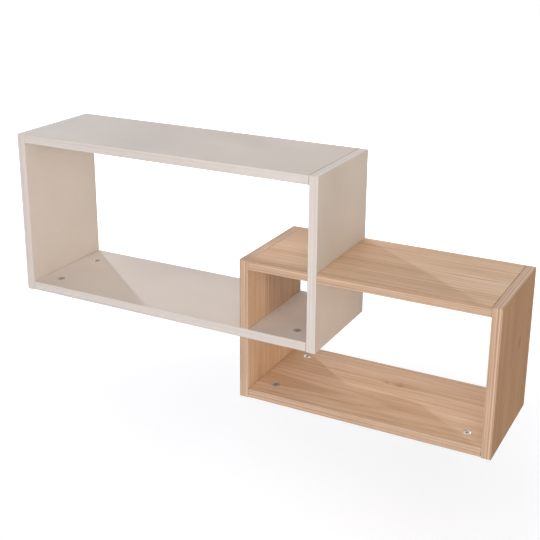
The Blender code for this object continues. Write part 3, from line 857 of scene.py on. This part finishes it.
def screw_mesh(material):
    """A small countersunk screw along Z, the top of its head at z = 0."""
    neck = -SCREW_HEAD_DEPTH
    tip = -SCREW_LENGTH
    core = SCREW_SHANK_RADIUS * SCREW_CORE_SHARE
    profile = [
        (0, 0),
        (SCREW_HEAD_RADIUS - SCREW_HEAD_EASE, 0),
        (SCREW_HEAD_RADIUS, -SCREW_HEAD_EASE),
        (SCREW_SHANK_RADIUS, neck),
    ]
    profile += thread_profile(
        core, SCREW_SHANK_RADIUS, neck - SCREW_PITCH, tip + SCREW_TIP, SCREW_PITCH
    )
    profile.append((0, tip))
    screw = mesh_object("small_screw", turned_mesh(profile, ROUND_STEPS))
    cut_cross(screw, SCREW_CROSS_LENGTH, SCREW_CROSS_WIDTH, SCREW_CROSS_DEPTH)
    return finished(screw, material)


def plate_mesh(material):
    """A keyhole plate in the XY plane, its outer face at z = 0, with eased edges."""
    work = bmesh.new()
    rings = []
    for grow, height in ((-PLATE_EASE, 0), (0, -PLATE_EASE), (0, -PLATE_THICKNESS)):
        width, length = PLATE_WIDTH + 2 * grow, PLATE_HEIGHT + 2 * grow
        outline = rounded_rectangle(width, length, PLATE_CORNER + grow)
        rings.append([work.verts.new((x, y, height)) for x, y in outline])
    work.faces.new(rings[0])
    work.faces.new(list(reversed(rings[-1])))
    for upper, lower in zip(rings, rings[1:]):
        join_rings(work, upper, lower)
    plate = mesh_object("keyhole_plate", mesh_from(work))

    low, high = -PLATE_THICKNESS - CUT_OVERRUN, CUT_OVERRUN
    keyhole = prism_mesh(circle(KEYHOLE_RADIUS, FINE_STEPS), low, high)
    boolean(plate, keyhole, place=(0, -KEYHOLE_DROP, 0))
    rise = SLOT_RISE + SLOT_RADIUS + KEYHOLE_DROP
    slot = rounded_rectangle(2 * SLOT_RADIUS, rise, SLOT_RADIUS * NEARLY_ROUND)
    slot_y = SLOT_RISE + SLOT_RADIUS - rise / 2
    boolean(plate, prism_mesh(slot, low, high), place=(0, slot_y, 0))
    hole = SCREW_SHANK_RADIUS + CLEARANCE
    sink = SCREW_HEAD_DEPTH + CLEARANCE
    mouth = SCREW_HEAD_RADIUS + CLEARANCE
    for end in (-1, 1):
        at = (0, end * SCREW_SPACING / 2, 0)
        boolean(plate, prism_mesh(circle(hole, ROUND_STEPS), low, high), place=at)
        boolean(plate, prism_mesh(circle(mouth, ROUND_STEPS), -sink, 0, hole / mouth), place=at)
    return finished(plate, material)


def stand_for(node, mesh, body, place, turn):
    """Puts a finer piece at a CAD node's place, which replaces it and moves with its body."""
    piece = mesh_object(node + "_fine", mesh)
    piece.location = place
    piece.rotation_euler = turn
    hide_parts(node)
    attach(piece, body)


def dress_fittings(nodes):
    """Finer cams, bolts, dowels, hanger plates and screws in the places of the plain ones."""
    cam = cam_mesh(metal_material("nickel_looks"))
    bolt = bolt_mesh(metal_material("steel_looks"))
    dowel = dowel_mesh(beech_material())
    plate = plate_mesh(metal_material("zinc_plate_looks"))
    screw = screw_mesh(metal_material("yellow_zinc_looks"))
    for node in nodes:
        low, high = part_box(node)
        middle = (low + high) / 2
        on_right = "_right" in node
        outward = math.pi / 2 if on_right else -math.pi / 2
        if node.endswith("_cam"):
            faces_up = "_bottom_" in node
            place = (middle.x, middle.y, high.z if faces_up else low.z)
            turn = (0 if faces_up else math.pi, 0, 0 if on_right else math.pi)
            stand_for(node, cam, node, place, turn)
        elif node.endswith("_bolt"):
            from_head = BOLT_HEAD_RADIUS - BOLT_HEAD_OFFSET
            axis_x = low.x + from_head if on_right else high.x - from_head
            place = (axis_x, middle.y, middle.z)
            stand_for(node, bolt, "shelf", place, (0, outward, 0))
        elif node.endswith("_dowel"):
            stand_for(node, dowel, "shelf", middle, (0, outward, 0))
        elif node.endswith("_hanger"):
            place = (middle.x, high.y, middle.z)
            stand_for(node, plate, "shelf", place, (math.pi / 2, 0, math.pi))
        elif node.endswith("_screw"):
            place = (middle.x, high.y, middle.z)
            stand_for(node, screw, "shelf", place, (-math.pi / 2, 0, 0))


def dress_boards(nodes):
    """Decor foil, edge bands and bare core on the eight boards. Each has a seed of its own."""
    looks = {
        "cream_top_panel": cream_material("cream_top_panel", "X", 1.0),
        "cream_bottom_panel": cream_material("cream_bottom_panel", "X", 2.0),
        "cream_left_side": cream_material("cream_left_side", "Z", 3.0),
        "cream_right_side": cream_material("cream_right_side", "Z", 4.0),
        "oak_top_panel": oak_material("oak_top_panel", "X", 11.0, TOP_SAWN, streak=TOP_STREAK),
        "oak_bottom_panel": oak_material("oak_bottom_panel", "X", 23.0, FLAT_SAWN, BOTTOM_KNOTS),
        "oak_left_side": oak_material("oak_left_side", "Z", 37.0, LEFT_SIDE_SAWN),
        # The right side's faces carry painted shade, darker as if less light reaches them
        "oak_right_side": oak_material(
            "oak_right_side", "Z", 41.0, RIGHT_SIDE_SAWN, RIGHT_SIDE_KNOTS, painted_shade=OAK_RIGHT_PAINTED_SHADE
        ),
    }
    for board, material in looks.items():
        nodes[board].data.materials.clear()
        nodes[board].data.materials.append(material)


def light_path_share(nodes):
    """1 for rays that look straight, by a mirror or through glass, and 0 for light that falls."""
    path = nodes.add("ShaderNodeLightPath", {})
    share = nodes.math("MAXIMUM", path.outputs["Is Camera Ray"], path.outputs["Is Glossy Ray"])
    return nodes.math("MAXIMUM", share, path.outputs["Is Transmission Ray"])


def make_world():
    """Faint even light, and a background that is seen as white."""
    world = bpy.data.worlds.new("studio")
    world.use_nodes = True
    bpy.context.scene.world = world
    nodes = Nodes(world.node_tree)
    output = world.node_tree.nodes["World Output"]
    light = world.node_tree.nodes["Background"]
    light.inputs["Color"].default_value = (*AMBIENT_COLOUR, 1)
    direction = nodes.add("ShaderNodeTexCoord", {}).outputs["Generated"]
    rise = nodes.math("MAXIMUM", nodes.split(direction)[2], 0.0)
    height_share = nodes.math("POWER", rise, 2.0)
    strength = nodes.fit(height_share, 0.0, 1.0, AMBIENT_LEVEL, AMBIENT_ABOVE)
    nodes.feed(light.inputs["Strength"], strength)
    seen = nodes.add("ShaderNodeBackground", {"Color": WHITE, "Strength": 1.0})
    inputs = {0: light_path_share(nodes), 1: light.outputs[0], 2: seen.outputs[0]}
    mixed = nodes.add("ShaderNodeMixShader", inputs)
    nodes.feed(output.inputs["Surface"], mixed.outputs[0])


def make_floor():
    """A pale floor well below the shelf, which brightens to white away from it."""
    low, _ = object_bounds()
    level = low.z - FLOOR_DROP
    outline = rectangle(2 * FLOOR_HALF, 2 * FLOOR_HALF)
    mesh = bpy.data.meshes.new("floor")
    mesh.from_pydata([(x, y, level) for x, y in outline], [], [(0, 1, 2, 3)])
    floor = mesh_object("floor", mesh)
    material, nodes, shader = new_material("pale_floor")
    place = object_place(nodes)
    grit = nodes.noise(nodes.scale(place, FLOOR_GRIT_PER_METRE))
    shader.inputs["Base Color"].default_value = linear(FLOOR_COLOUR)
    nodes.feed(shader.inputs["Roughness"], nodes.fit(grit, *NOISE_RANGE, *FLOOR_ROUGHNESS))
    x, y, _ = nodes.split(place)
    glow = nodes.fit(nodes.length(x, y), *FLOOR_GLOW_REACH, *FLOOR_GLOW)
    seen_glow = nodes.math("MULTIPLY", glow, light_path_share(nodes))
    shader.inputs["Emission Color"].default_value = WHITE
    nodes.feed(shader.inputs["Emission Strength"], seen_glow)
    mesh.materials.append(material)


def make_lamp(name, facts):
    """A square lamp that looks at the middle of the shelf and isn't seen itself."""
    heading, height = math.radians(facts["heading"]), math.radians(facts["height"])
    level = math.cos(height)
    away = Vector((math.cos(heading) * level, math.sin(heading) * level, math.sin(height)))
    data = bpy.data.lights.new(name, "AREA")
    data.size = facts["size"]
    data.energy = facts["watts"]
    data.color = facts["colour"]
    lamp = bpy.data.objects.new(name, data)
    lamp.visible_camera = False
    lamp.location = Vector(SHELF_MIDDLE) + away * facts["distance"]
    lamp.rotation_euler = away.to_track_quat("Z", "Y").to_euler()
    bpy.context.scene.collection.objects.link(lamp)


def make_camera():
    data = bpy.data.cameras.new("camera")
    data.lens = CAMERA_LENS_MM
    data.shift_y = CAMERA_SHIFT_SHARE
    camera = bpy.data.objects.new("camera", data)
    camera.location = CAMERA_PLACE
    camera.rotation_euler = [math.radians(a) for a in CAMERA_TURN_DEGREES]
    bpy.context.scene.collection.objects.link(camera)
    bpy.context.scene.camera = camera


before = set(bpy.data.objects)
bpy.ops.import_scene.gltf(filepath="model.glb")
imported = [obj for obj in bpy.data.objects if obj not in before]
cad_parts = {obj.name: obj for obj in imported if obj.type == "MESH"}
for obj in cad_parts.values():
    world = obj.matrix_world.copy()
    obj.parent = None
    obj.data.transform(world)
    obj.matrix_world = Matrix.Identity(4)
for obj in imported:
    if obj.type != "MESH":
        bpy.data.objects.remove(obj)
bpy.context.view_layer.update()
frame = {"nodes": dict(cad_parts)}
bpy.context.scene.view_settings.view_transform = "Standard"
make_camera()
make_world()
make_floor()
for lamp_name, lamp_facts in LAMPS.items():
    make_lamp(lamp_name, lamp_facts)
dress_boards(frame["nodes"])
dress_fittings(frame["nodes"])
